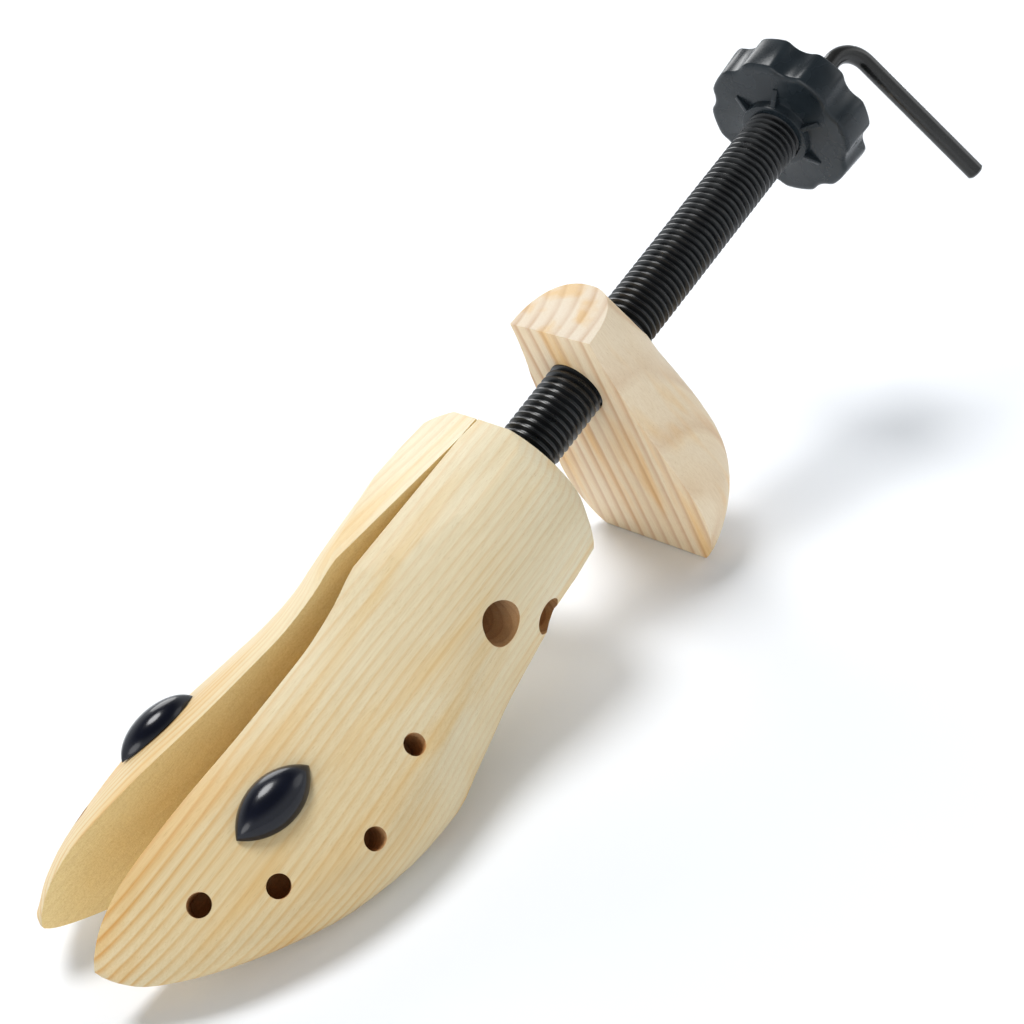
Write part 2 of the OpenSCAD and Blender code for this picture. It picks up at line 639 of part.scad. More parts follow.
color(pine) on_left() last_half();  // left_last_half
color(pine) on_right() last_half();  // right_last_half
color(navy_plastic) on_left() bunion_plug();  // left_bunion_plug
color(navy_plastic) on_right() bunion_plug();  // right_bunion_plug
color(pine_heel) on_floor() heel_block();
color(black_plastic) on_floor() threaded_sleeve();
color(black_plastic) on_floor() knob();
color(black_plastic) on_floor() rod_bush();
color(bright_steel) on_floor() sleeve_washer();
color(bright_steel) on_floor() nose_clip();
color(bright_steel) on_floor() pivot_collar();
color(bright_steel) on_floor() barrel_nut();
color(black_steel) on_floor() spreader_rod();
color(brass) on_floor() spreader_wedge();
color(bright_steel) on_floor() tip_clip();
color(bright_steel) on_left() ramp_plate();  // left_ramp_plate
color(bright_steel) on_right() ramp_plate();  // right_ramp_plate
color(bright_steel) on_left() ramp_screws();  // left_ramp_screws
color(bright_steel) on_right() ramp_screws();  // right_ramp_screws
color(bright_steel) on_floor() return_spring();
color(bright_steel) on_left() spring_pin();  // left_spring_pin
color(bright_steel) on_right() spring_pin();  // right_spring_pin
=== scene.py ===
# %% [markdown]
# # A wooden shoe stretcher, dressed for a photograph
#
# The imported CAD model is the frame: it says where every piece of the stretcher is and which
# bodies move. This lesson gives those pieces their visible surface: sawn and sanded pine, a
# moulded knob, a coarse screw thread, a bent steel handle and two glossy pressure plugs.
# The frame is loaded first.

# %% Load the frame
import json
from math import atan2, cos, degrees, hypot, pi, radians, sin, sqrt

import bmesh
import bpy
from mathutils import Matrix, Vector


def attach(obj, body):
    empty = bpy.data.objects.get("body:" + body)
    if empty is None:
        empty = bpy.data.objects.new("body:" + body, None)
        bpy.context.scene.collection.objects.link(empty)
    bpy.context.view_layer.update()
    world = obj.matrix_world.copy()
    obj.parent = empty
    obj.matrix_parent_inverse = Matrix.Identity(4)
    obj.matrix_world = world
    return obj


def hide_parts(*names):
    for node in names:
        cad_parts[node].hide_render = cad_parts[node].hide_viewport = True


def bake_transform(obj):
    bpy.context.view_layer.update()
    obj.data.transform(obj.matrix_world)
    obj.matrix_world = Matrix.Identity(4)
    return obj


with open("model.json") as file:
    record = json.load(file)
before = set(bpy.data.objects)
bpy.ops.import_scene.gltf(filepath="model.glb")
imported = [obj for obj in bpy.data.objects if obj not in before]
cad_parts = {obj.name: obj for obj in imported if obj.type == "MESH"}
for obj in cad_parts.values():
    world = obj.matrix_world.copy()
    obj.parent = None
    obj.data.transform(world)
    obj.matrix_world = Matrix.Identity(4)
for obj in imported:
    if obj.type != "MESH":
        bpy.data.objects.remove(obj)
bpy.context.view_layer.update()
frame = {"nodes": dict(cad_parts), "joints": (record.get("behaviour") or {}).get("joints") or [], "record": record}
MM = 0.001


def mm(*values):
    """Millimetres as metres, in a tuple that an operator can take."""
    return tuple(value * MM for value in values)


def in_mm(metres):
    """Metres as rounded millimetres, to print."""
    return [round(value / MM, 1) for value in metres]


# %% [markdown]
# ## Working along the rod
#
# The stretcher stands on the floor with its rod tilted up, and each half of the last is turned
# out a little. It is far easier to model a knob or a thread along a straight axis, so each
# piece is made along X, as if the rod lay level, and its mesh is then moved into place. The
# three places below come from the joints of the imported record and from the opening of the
# halves in the photograph. The right half is the left one mirrored.

# %% Places of the rod and of the two halves
joints = {joint["name"]: joint for joint in frame["joints"]}
hinge = Vector(joints["left_hinge"]["pos_m"])
along_rod = -Vector(joints["sleeve_spin"]["axis"])
above_rod = -Vector(joints["left_hinge"]["axis"])
ROD_TILT = atan2(along_rod.z, along_rod.x)
OPENING = radians(4.25)


def place_from(directions, origin):
    """The place whose X, Y and Z look along three directions, with its origin at a point."""
    place = Matrix.Identity(4)
    for column, direction in enumerate(directions):
        place.col[column] = (*direction, 0)
    place.col[3] = (*origin, 1)
    return place


ON_ROD = place_from((along_rod, Vector((0, 1, 0)), above_rod), hinge)
ON_LEFT = ON_ROD @ Matrix.Rotation(-OPENING, 4, "Z")
ON_RIGHT = ON_ROD @ Matrix.Scale(-1, 4, (0, 1, 0)) @ Matrix.Rotation(-OPENING, 4, "Z")
print("hinge line at", in_mm(hinge), "mm, rod tilt", round(degrees(ROD_TILT), 1), "degrees")

# %% [markdown]
# ## The camera
#
# The photograph was taken from above and to the side of the near half, with a lens a little
# longer than normal. The camera is given the position and the three directions that were
# found by matching straight edges and round rims of the object with the photograph. They are
# given in the rod's own place: the position in millimetres, and the ways to the camera's
# right, to its top and back out of its lens.

# %% Camera at the photograph's view
EYE = Vector((-155.42, -308.60, 311.82)) * MM
LOOK = ((0.5781, -0.7114, -0.3995), (0.7463, 0.2632, 0.6114), (-0.3298, -0.6516, 0.6831))
FRAME_PX = 1024
FOCAL_PX = 1510.82
SENSOR = 36.0

camera_data = bpy.data.cameras.new("camera")
camera_data.sensor_width = SENSOR
camera_data.lens = FOCAL_PX / FRAME_PX * SENSOR
camera_data.clip_start = 0.01
camera_data.clip_end = 20
camera = bpy.data.objects.new("camera", camera_data)
bpy.context.scene.collection.objects.link(camera)
turn = Matrix([Vector(row) for row in LOOK]).transposed().to_4x4()
camera.matrix_world = ON_ROD @ Matrix.Translation(EYE) @ turn
bpy.context.scene.camera = camera
print("lens", round(camera_data.lens, 1), "mm")

# %% [markdown]
# ## Nodes
#
# Floor, light and finishes are all small trees of nodes. Four helpers start a material, add a
# node with its settings, feed a socket and make a ramp of colours, which keeps each tree
# short enough to read. No finish needs an image.

# %% Helpers that add and feed nodes
WHITE = (1, 1, 1)


def shader(name):
    """A new material and its surface shader."""
    material = bpy.data.materials.new(name)
    material.use_nodes = True
    return material, material.node_tree.nodes["Principled BSDF"]


def set_sockets(node, **values):
    """Sets input sockets by their names, with _ where a name has a space."""
    for name, value in values.items():
        node.inputs[name.replace("_", " ")].default_value = value


def add(tree, kind, **values):
    """A new node. Each value sets the property of that name, or else the socket."""
    node = tree.nodes.new("ShaderNode" + kind)
    for name, value in values.items():
        if hasattr(node, name):
            setattr(node, name, value)
        else:
            set_sockets(node, **{name: value})
    return node


def feed(tree, socket, value):
    """Links a socket to an output, or sets it to a number, a direction or a colour."""
    if hasattr(value, "links"):
        tree.links.new(value, socket)
    elif socket.type == "RGBA":
        socket.default_value = (*value, 1)
    else:
        socket.default_value = value


def ramp(tree, value, *stops):
    """A ramp of colours. Each stop is a place from 0 to 1 and the colour there."""
    band = add(tree, "ValToRGB")
    elements = band.color_ramp.elements
    while len(elements) < len(stops):
        elements.new(0.5)
    for element, (place, colour) in zip(elements, stops):
        element.position = place
        element.color = (*colour, 1)
    feed(tree, band.inputs["Fac"], value)
    return band.outputs["Color"]


print("node helpers: shader, set_sockets, add, feed, ramp")

# %% [markdown]
# ## A pale floor
#
# The stretcher stands on white in the photograph. One large pale plane gives that from any
# side, and catches the soft shadow under the soles. It lies a hair below them, because two
# surfaces at the same height would show through each other.

# %% Floor
FLOOR_SIZE = 8
FLOOR_DROP = 0.0002

bpy.ops.mesh.primitive_plane_add(size=FLOOR_SIZE, location=(0, 0, -FLOOR_DROP))
floor = bpy.context.object
floor.name = "floor"
paper, paper_surface = shader("pale_paper")
set_sockets(paper_surface, Base_Color=(0.92, 0.945, 0.98, 1), Roughness=0.9, Specular_IOR_Level=0.1)
floor.data.materials.append(paper)
print("floor", FLOOR_SIZE, "m wide")

# %% [markdown]
# ## Four soft lamps in a white room
#
# A product picture like this one is lit by a big soft lamp overhead, with white all round to
# fill the shadows. Three weaker lamps light the toes, the knob and the far side. The room is
# white at the height of walls, because glossy plastic and steel mirror it, and dark overhead,
# so that the key lamp decides how bright the tops of the pieces are. The Standard view keeps
# the white of the floor white.

# %% Lamps and surroundings
AIM = (0, 0, 0.05)
LAMPS = (  # name, place and width in metres, power in watts
    ("key_lamp", (-0.10, 0.86, 2.85), 1.25, 58),
    ("toe_lamp", (-1.8, -0.3, 0.65), 1.0, 8),
    ("side_lamp", (1.6, -1.0, 1.0), 1.2, 4),
    ("back_lamp", (0.9, 2.0, 1.1), 1.4, 18))
WALLS = (0.40, (0.80, 0.83, 0.85))
CEILING = (0.75, (0.13, 0.135, 0.14))

for name, place, width, watts in LAMPS:
    data = bpy.data.lights.new(name, "AREA")
    data.shape = "DISK"
    data.size = width
    data.energy = watts
    lamp = bpy.data.objects.new(name, data)
    bpy.context.scene.collection.objects.link(lamp)
    lamp.location = place
    lamp.rotation_euler = (Vector(AIM) - Vector(place)).to_track_quat("-Z", "Y").to_euler()

world = bpy.data.worlds.new("white_room")
world.use_nodes = True
room = world.node_tree
height = add(room, "SeparateXYZ")
feed(room, height.inputs["Vector"], add(room, "TexCoord").outputs["Generated"])
room_light = ramp(room, height.outputs["Z"], WALLS, CEILING)
feed(room, room.nodes["Background"].inputs["Color"], room_light)
bpy.context.scene.world = world
bpy.context.scene.view_settings.view_transform = "Standard"
print(len(LAMPS), "lamps in a white room")

# %% [markdown]
# ## Patterns on object coordinates
#
# A pattern that reads object coordinates stays put when a piece moves. A mapping turns them so
# that X runs along the rod and counts them in millimetres, so each pattern is given its real
# size. A second mapping stretches a pattern, as long fibres need. The last helper links what
# every finish has: a colour, a gloss that isn't even, and a fine relief.

# %% Helpers that make and mix patterns
def stretched(tree, vector, stretch, shift=(0, 0, 0)):
    """Coordinates times a stretch, plus a shift. A small stretch makes a pattern long."""
    pull = add(tree, "Mapping", vector_type="POINT", Location=shift, Scale=stretch)
    feed(tree, pull.inputs["Vector"], vector)
    return pull.outputs["Vector"]


def rod_coordinates(tree, turn_y=0.0):
    """Object coordinates in millimetres, turned so that X runs along the rod."""
    level = add(tree, "Mapping", vector_type="POINT", Rotation=(0, ROD_TILT + turn_y, 0),
                Scale=(1 / MM, 1 / MM, 1 / MM))
    feed(tree, level.inputs["Vector"], add(tree, "TexCoord").outputs["Object"])
    return level.outputs["Vector"]


def noise(tree, vector, stretch=(1, 1, 1), scale=1.0, detail=3.0, rough=0.5):
    texture = add(tree, "TexNoise", Scale=scale, Detail=detail, Roughness=rough)
    feed(tree, texture.inputs["Vector"], stretched(tree, vector, stretch))
    return texture.outputs["Fac"]


def calculate(tree, operation, *values):
    node = add(tree, "Math", operation=operation)
    for socket, value in zip(node.inputs, values):
        feed(tree, socket, value)
    return node.outputs["Value"]


def blend_colours(tree, share, first, second, mode="MIX"):
    """The first colour with a share of the second mixed in, or multiplied in."""
    mixer = add(tree, "Mix", data_type="RGBA", blend_type=mode)
    sockets = [socket for socket in mixer.inputs if socket.enabled]
    for socket, value in zip(sockets, (share, first, second)):
        feed(tree, socket, value)
    return [socket for socket in mixer.outputs if socket.enabled][0]


def times(colour, factor):
    return tuple(min(channel * factor, 1) for channel in colour)


def dress(tree, surface, colour, gloss, relief):
    """Links a colour, a gloss and a relief. Gloss is a pattern, how much roughness it adds and
    the lowest roughness. Relief is a pattern, its strength and its height in metres."""
    gloss_pattern, added, lowest = gloss
    relief_pattern, strength, relief_height = relief
    roughness = calculate(tree, "MULTIPLY_ADD", gloss_pattern, added, lowest)
    bump = add(tree, "Bump", Strength=strength, Distance=relief_height)
    feed(tree, bump.inputs["Height"], relief_pattern)
    feed(tree, surface.inputs["Base Color"], colour)
    feed(tree, surface.inputs["Roughness"], roughness)
    feed(tree, surface.inputs["Normal"], bump.outputs["Normal"])


print("pattern helpers: stretched, rod_coordinates, noise, calculate, blend_colours, dress")

# %% [markdown]
# ## Growth rings
#
# The wood is a pale softwood. Its growth rings are shells round the heart of the tree, so a
# board shows them as long lines on its faces and as arcs on its ends. A picture of wood would
# show only one cut. A wave texture in rings round an axis far outside the piece gives every
# cut from one pattern. In each ring the pale early wood darkens slowly to late wood and then
# stops at once, which is the shape of a saw tooth, and slow noise lets some rings fade.

# %% Rings, changes along the wood and end grain
SAPWOOD = (0.80, 0.72, 0.525)
LATEWOOD = (0.70, 0.45, 0.18)
WAVE_REPEAT = 0.314  # millimetres between two rings of the wave texture at scale 1


def grey(value):
    return (value, value, value)


def growth_rings(tree, flat, heart, ring, wobble):
    """How much late wood shows, from 0 to 1, with rings `ring` millimetres apart."""
    rings = add(tree, "TexWave", wave_type="RINGS", rings_direction="X", wave_profile="SAW",
                Scale=WAVE_REPEAT / ring, Distortion=wobble, Detail=2.0, Detail_Scale=0.3,
                Detail_Roughness=0.5)
    feed(tree, rings.inputs["Vector"], stretched(tree, flat, (0.06, 1, 1), heart))
    return ramp(tree, rings.outputs["Fac"], (0.0, grey(0.0)), (0.45, grey(0.12)),
                (0.84, grey(1)), (1.0, grey(0.1)))


def change_along(tree, flat, x_from, x_to, first, last):
    """A number that goes from `first` to `last` as X goes between two places in millimetres."""
    apart = add(tree, "SeparateXYZ")
    feed(tree, apart.inputs["Vector"], flat)
    change = add(tree, "MapRange", clamp=True, From_Min=x_from, From_Max=x_to, To_Min=first, To_Max=last)
    feed(tree, change.inputs["Value"], apart.outputs["X"])
    return change.outputs["Result"]


def facing(tree, direction, power):
    """1 on a face across a direction, 0 on a face along it. Power sharpens the change."""
    along = add(tree, "VectorMath", operation="DOT_PRODUCT")
    feed(tree, along.inputs[0], add(tree, "TexCoord").outputs["Normal"])
    feed(tree, along.inputs[1], tuple(direction))
    share = calculate(tree, "ABSOLUTE", along.outputs["Value"])
    return calculate(tree, "POWER", share, power)


print("wood helpers: growth_rings, change_along, facing")

# %% [markdown]
# ## Pine
#
# Over the rings lie the marks of time and tools. Fibre streaks and short dark pores are noise
# that is pulled long in the direction of the grain, with broad patches and a honey-coloured
# stain. Towards the toes of this stretcher the rings grow stronger and the wood warmer. End
# grain is cooler and greyer, and the sides of the upright heel block, cut along its rings, are
# almost plain. A sawn or bored face has torn fibres as well: a fuzz of colour and deeper marks.
# Six versions come from the one recipe: sanded and sawn wood for each half, bored wood for
# all holes and the wedge pocket, painted much darker as shade inside them, and the wood of the heel.

# %% Marks in the wood
FIBRES = dict(stretch=(0.05, 2.0, 2.0), detail=4.0, rough=0.6)
PORES = dict(stretch=(0.22, 6.0, 6.0), detail=1.0)
PATCHES = dict(stretch=(0.018, 0.04, 0.04), detail=2.0)
STAIN = dict(stretch=(0.008, 0.10, 0.10), detail=2.0)
FADING = dict(stretch=(0.006, 0.045, 0.045), detail=2.0)
FUZZ = dict(stretch=(1.6, 2.4, 2.4), detail=3.0, rough=0.7)
SAW_MARKS = dict(stretch=(2.2, 1.1, 1.1), detail=3.0, rough=0.7)

FIBRE_TINT = ((0.32, (0.86, 0.80, 0.70)), (0.62, WHITE))
PORE_TINT = ((0.24, (0.62, 0.48, 0.32)), (0.36, WHITE))
PATCH_TINT = ((0.3, (0.95, 0.87, 0.74)), (0.7, WHITE))
STAIN_TINT = ((0.50, WHITE), (0.66, (0.98, 0.80, 0.52)))
FUZZ_TINT = ((0.34, (0.86, 0.81, 0.72)), (0.60, WHITE))
TOE_TINT = (0.92, 0.86, 0.74)
END_GRAIN_TINT = (0.80, 0.84, 0.93)

GRAIN_UPRIGHT = radians(96)
PORE_SHARE, PATCH_SHARE, FUZZ_SHARE, SIDE_SHARE = 0.4, 0.7, 0.8, 0.55
WOOD_SHINE = 0.32
WOOD_RELIEF = 0.00025


def tinted(tree, colour, share, pattern, tint):
    """A colour with a tint multiplied in where a pattern calls for it."""
    return blend_colours(tree, share, colour, ramp(tree, pattern, *tint), "MULTIPLY")


print("marks in the wood: fibres, pores, patches, stain, fuzz and saw marks")


# %% Recipe for pine
def pine(name, heart, upright=False, sapwood=SAPWOOD, latewood=LATEWOOD, ring=2.6, wobble=3.0,
         strength=0.66, streaks=0.45, amber=0.6, sawn=0.0, roughness=0.5, warm_toe=True):
    """Softwood. `heart` is the way from the heart of the tree to the floor's middle, in mm."""
    material, surface = shader(name)
    tree = material.node_tree
    flat = rod_coordinates(tree, GRAIN_UPRIGHT if upright else 0.0)

    late = calculate(tree, "MULTIPLY", growth_rings(tree, flat, heart, ring, wobble), strength)
    clear = ramp(tree, noise(tree, flat, **FADING), (0.32, grey(0.35)), (0.68, grey(1)))
    if warm_toe:
        clear = calculate(tree, "MULTIPLY", clear, change_along(tree, flat, -60.0, -175.0, 0.62, 1.9))
    colour = blend_colours(tree, calculate(tree, "MULTIPLY", late, clear), sapwood, latewood)
    if warm_toe:
        toe = change_along(tree, flat, -20.0, -130.0, 0.0, 1.0)
        colour = blend_colours(tree, toe, colour, TOE_TINT, "MULTIPLY")
    if upright:
        side_cut = calculate(tree, "MULTIPLY", facing(tree, (0, 1, 0), 2.0), SIDE_SHARE)
        colour = blend_colours(tree, side_cut, colour, times(sapwood, 0.90))
    end_grain = facing(tree, above_rod if upright else along_rod, 3.0)
    colour = blend_colours(tree, end_grain, colour, END_GRAIN_TINT, "MULTIPLY")

    fibres = noise(tree, flat, **FIBRES)
    pores = noise(tree, flat, **PORES)
    colour = tinted(tree, colour, streaks, fibres, FIBRE_TINT)
    colour = tinted(tree, colour, PORE_SHARE, pores, PORE_TINT)
    colour = tinted(tree, colour, PATCH_SHARE, noise(tree, flat, **PATCHES), PATCH_TINT)
    colour = tinted(tree, colour, amber, noise(tree, flat, **STAIN), STAIN_TINT)
    relief = calculate(tree, "ADD", calculate(tree, "MULTIPLY", fibres, 0.6), pores)
    if sawn:
        colour = tinted(tree, colour, FUZZ_SHARE, noise(tree, flat, **FUZZ), FUZZ_TINT)
        marks = calculate(tree, "MULTIPLY", noise(tree, flat, **SAW_MARKS), sawn)
        relief = calculate(tree, "ADD", relief, marks)

    set_sockets(surface, Specular_IOR_Level=WOOD_SHINE)
    dress(tree, surface, colour, gloss=(fibres, 0.18, roughness - 0.09),
          relief=(relief, 0.22 + 0.25 * sawn, WOOD_RELIEF))
    return material


print("one recipe for pine, with", len(pine.__defaults__), "settings")

# %% Wood in its cuts
RIGHT_HEART, LEFT_HEART, HEEL_HEART = (0, 130, 110), (0, -130, 110), (0, -45, 51)
SLOT_CUT = dict(sapwood=(0.93, 0.75, 0.39), latewood=(0.70, 0.46, 0.20), strength=0.2,
                streaks=0.2, amber=0, sawn=0.9, roughness=0.7, warm_toe=False)

left_pine = pine("left_sanded_pine", LEFT_HEART)
right_pine = pine("right_sanded_pine", RIGHT_HEART)
left_sawn = pine("left_sawn_pine", LEFT_HEART, **SLOT_CUT)
right_sawn = pine("right_sawn_pine", RIGHT_HEART, **SLOT_CUT)
# Painted shade: this wood is far darker than the sanded pine, for the shade inside the holes and the wedge pocket.
# Its fuzz and saw marks are the drill's torn fibres.
shaded_bored_pine = pine("shaded_bored_pine", LEFT_HEART, sapwood=(0.62, 0.38, 0.19), latewood=(0.38, 0.18, 0.07),
                  sawn=0.6, roughness=0.8, warm_toe=False)
heel_pine = pine("heel_sanded_pine", HEEL_HEART, upright=True, sapwood=(0.94, 0.80, 0.60),
                 latewood=(0.62, 0.34, 0.15), ring=5.4, wobble=3.2, strength=0.8, amber=0.9,
                 warm_toe=False)
for wood in (left_pine, right_pine, left_sawn, right_sawn, shaded_bored_pine, heel_pine):
    print(wood.name, len(wood.node_tree.nodes), "nodes")

# %% [markdown]
# ## Plastic and metal
#
# Moulded plastic is never perfectly even: it has a faint pebble from the mould and cloudy
# patches of gloss where hands have held it. Black steel is smoother, and turned steel and
# brass have fine lines round their axis. Two recipes, one for moulded and one for turned
# pieces, give both from noise. How strongly a surface mirrors is set on the shader itself.

# %% Moulded plastic, black steel and turned metal
def moulded(name, colour, roughness, pebble, shine, coat=0.0):
    material, surface = shader(name)
    tree = material.node_tree
    flat = rod_coordinates(tree)
    speck = noise(tree, flat, scale=2.2, rough=0.6)
    cloud = noise(tree, flat, scale=0.12, detail=2.0)
    tone = ramp(tree, cloud, (0.3, times(colour, 0.85)), (0.7, times(colour, 1.2)))
    set_sockets(surface, Specular_IOR_Level=shine, Coat_Weight=coat, Coat_Roughness=0.08)
    dress(tree, surface, tone, gloss=(cloud, 0.16, roughness - 0.08), relief=(speck, pebble, 0.0002))
    return material


def turned(name, colour, roughness, metallic=1.0, lines=0.3, shine=0.5):
    material, surface = shader(name)
    tree = material.node_tree
    flat = rod_coordinates(tree)
    grooves = noise(tree, flat, (6.0, 0.15, 0.15), rough=0.6)
    smudge = noise(tree, flat, scale=0.09)
    tone = ramp(tree, smudge, (0.3, times(colour, 0.72)), (0.7, colour))
    set_sockets(surface, Metallic=metallic, Specular_IOR_Level=shine)
    dress(tree, surface, tone, gloss=(smudge, 0.22, roughness - 0.1), relief=(grooves, lines, 0.0001))
    return material


sleeve_black = moulded("sleeve_black", (0.006, 0.007, 0.008), 0.30, pebble=0.05, shine=0.5)
knob_black = moulded("knob_black", (0.012, 0.017, 0.021), 0.27, pebble=0.07, shine=0.32)
plug_navy = moulded("plug_navy", (0.002, 0.003, 0.009), 0.22, pebble=0.02, shine=0.3, coat=0.2)
rod_black = turned("rod_black_oxide", (0.012, 0.012, 0.011), 0.24, metallic=0.1, lines=0.06, shine=0.6)
bright_steel = turned("turned_steel", (0.60, 0.61, 0.63), 0.30)
turned_brass = turned("turned_brass", (0.72, 0.52, 0.22), 0.32)
print("plastics and metals:", sleeve_black.name, knob_black.name, plug_navy.name, rod_black.name)

# %% [markdown]
# ## Tools for modelling
#
# A loaded frame leaves its nodes selected, and operators act on all that is selected, so a
# helper clears the selection before anything new is added. The others open a piece for
# editing, apply a modifier, and cut or join two pieces. Most blanks on this object are round
# bars along the rod, so one helper makes those.

# %% Selection, modifiers and round blanks
MERGE_GAP = 1e-6


def clear_selection():
    if bpy.context.object and bpy.context.object.mode != "OBJECT":
        bpy.ops.object.mode_set(mode="OBJECT")
    bpy.ops.object.select_all(action="DESELECT")


def choose(piece):
    clear_selection()
    piece.select_set(True)
    bpy.context.view_layer.objects.active = piece


def edit_all(piece):
    """Opens a piece in edit mode with all of it selected."""
    choose(piece)
    bpy.ops.object.mode_set(mode="EDIT")
    bpy.ops.mesh.select_all(action="SELECT")


def bake_place(piece):
    choose(piece)
    bpy.ops.object.transform_apply(location=True, rotation=True, scale=True)


def apply_modifier(piece, kind, **values):
    choose(piece)
    modifier = piece.modifiers.new(kind.lower(), kind)
    for name, value in values.items():
        setattr(modifier, name, value)
    bpy.ops.object.modifier_apply(modifier=modifier.name)


def cut_with(piece, cutter):
    apply_modifier(piece, "BOOLEAN", operation="DIFFERENCE", object=cutter, solver="EXACT")
    bpy.data.objects.remove(cutter)


def join_with(piece, other):
    apply_modifier(piece, "BOOLEAN", operation="UNION", object=other, solver="EXACT")
    bpy.data.objects.remove(other)


def rod_cylinder(x_from, x_to, radius, sides=48):
    """Round bar along X, in millimetres."""
    clear_selection()
    bpy.ops.mesh.primitive_cylinder_add(vertices=sides, radius=radius * MM, depth=(x_to - x_from) * MM,
                                        location=((x_from + x_to) / 2 * MM, 0, 0), rotation=(0, pi / 2, 0))
    cylinder = bpy.context.object
    bake_place(cylinder)
    return cylinder


print("modelling helpers: choose, edit_all, apply_modifier, cut_with, join_with, rod_cylinder")

# %% [markdown]
# ## Send a piece to its place
#
# A finished piece is moved by its mesh, so that its object stays at the origin as a CAD node's
# does. Its faces are then turned outwards, because a mirror turns them in, it is put on the body
# it rides on and given its finish, and the CAD node it stands for is hidden. Sharp edges catch
# no light, so one helper rounds them, after it has joined flat triangles into whole faces.

# %% Place and finish of a piece
def face_outwards(piece):
    edit_all(piece)
    bpy.ops.mesh.remove_doubles(threshold=MERGE_GAP)
    bpy.ops.mesh.normals_make_consistent(inside=False)
    bpy.ops.object.mode_set(mode="OBJECT")


def shade_smooth(piece, degrees_apart):
    """Smooth shading over edges that turn less than an angle."""
    choose(piece)
    bpy.ops.object.shade_smooth_by_angle(angle=radians(degrees_apart))


def finish_piece(piece, name, place, body, material, node, smooth):
    piece.name = name
    piece.data.name = name
    piece.data.transform(place)
    face_outwards(piece)
    shade_smooth(piece, smooth)
    piece.data.materials.append(material)
    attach(piece, body)
    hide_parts(node)
    print(name, len(piece.data.polygons), "faces")


def soften_edges(piece, width, angle, segments=3):
    """Joins flat triangles into whole faces, then rounds the sharp edges between them."""
    edit_all(piece)
    bpy.ops.mesh.dissolve_limited(angle_limit=radians(0.5))
    bpy.ops.object.mode_set(mode="OBJECT")
    apply_modifier(piece, "BEVEL", width=width * MM, segments=segments, limit_method="ANGLE",
                   angle_limit=radians(angle), miter_outer="MITER_ARC")


print("finishing helpers: face_outwards, shade_smooth, finish_piece, soften_edges")

# %% [markdown]
# ## The two halves of the last
#
# The CAD model already has the form of the last, with its plug holes and the pocket for the
# wedge, so the wood is a merged copy of it with rounded edges and smooth shading. What the
# copy adds is the cut of each face: the sanded outside, the sawn face along the slot, and the
# walls of the holes and the floor of the wedge pocket. These are rough from the drill, and are
# painted much darker as well, which is painted shade for the inside of the holes and the
# pocket. Faces are told apart by where they are and which way they look, in the place of their
# own half.

# %% Sort the faces of a half by their cut
# BORED faces get the bored wood, which is painted darker as shade in the holes and the pocket.
SANDED, SAWN, BORED = 0, 1, 2
CROSS_BORES = ((-41.5, 0.0, 6.75), (-27.0, -17.0, 5.75))  # x, z and radius in mm
PLUG_HOLES = [(Vector(mount["pos_m"]), Vector(mount["axis"]), mount["dims"]["r_mm"] * MM)
              for mount in frame["record"]["mounts"] if mount["kind"] == "bore"]
SLOT_LAYER = 1.5  # mm from the middle, past which a face that looks inwards is a pocket's floor
POCKET_FROM, POCKET_TO, POCKET_DEPTH, POCKET_R = -112, 7.9, 12.5, 14.5
WALL_MARGIN = 0.05


def cut_of(centre, normal):
    """The cut of a face by its centre in mm and the way it looks, in the half's own place."""
    if normal.y < -0.97:
        return SAWN if centre.y < SLOT_LAYER else BORED
    for x, z, radius in CROSS_BORES:
        if hypot(centre.x - x, centre.z - z) < radius + WALL_MARGIN and abs(normal.y) < 0.3:
            return BORED
    in_pocket = centre.y < POCKET_DEPTH and hypot(centre.y, centre.z) < POCKET_R
    return BORED if in_pocket and POCKET_FROM < centre.x < POCKET_TO else SANDED


def in_plug_hole(centre, normal):
    """True on the wall or the bottom of a plug hole. A whole face round a hole has its centre
    over the hole, so the way it looks counts as well."""
    for middle, axis, radius in PLUG_HOLES:
        away = centre - middle
        depth = away.dot(axis)
        if (away - axis * depth).length < radius + WALL_MARGIN * MM:
            return abs(normal.dot(axis)) < 0.5 or depth < 0
    return False


print(len(PLUG_HOLES), "plug holes and", len(CROSS_BORES), "cross bores")

# %% Two halves of wood
def wood_copy(node, name):
    """A copy of a CAD node's mesh with its loose triangles merged."""
    piece = bpy.data.objects.new(name, frame["nodes"][node].data.copy())
    bpy.context.scene.collection.objects.link(piece)
    piece.data.materials.clear()
    edit_all(piece)
    bpy.ops.mesh.remove_doubles(threshold=2 * MERGE_GAP)
    bpy.ops.object.mode_set(mode="OBJECT")
    return piece


def half_of_last(side, place, sanded, sawn):
    node = side + "_last_half"
    piece = wood_copy(node, side + "_half_wood")
    for material in (sanded, sawn, shaded_bored_pine):
        piece.data.materials.append(material)
    soften_edges(piece, 0.45, 55)
    back = place.inverted()
    turn_back = back.to_3x3()
    counts = [0, 0, 0]
    for face in piece.data.polygons:
        cut = BORED
        if not in_plug_hole(face.center, face.normal):
            cut = cut_of(back @ face.center / MM, (turn_back @ face.normal).normalized())
        face.material_index = cut
        counts[cut] += 1
    shade_smooth(piece, 28)
    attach(piece, side + "_half")
    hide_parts(node)
    print(piece.name, "faces sanded, sawn, bored:", counts)


half_of_last("left", ON_LEFT, left_pine, left_sawn)
half_of_last("right", ON_RIGHT, right_pine, right_sawn)

# %% [markdown]
# ## The heel block
#
# The heel is cut from a block whose grain stands upright, so its rings show as arcs on the
# top and as long lines down the front. Its form is the CAD node's, merged and smoothed. Its
# edges are sanded rounder than those of the last.

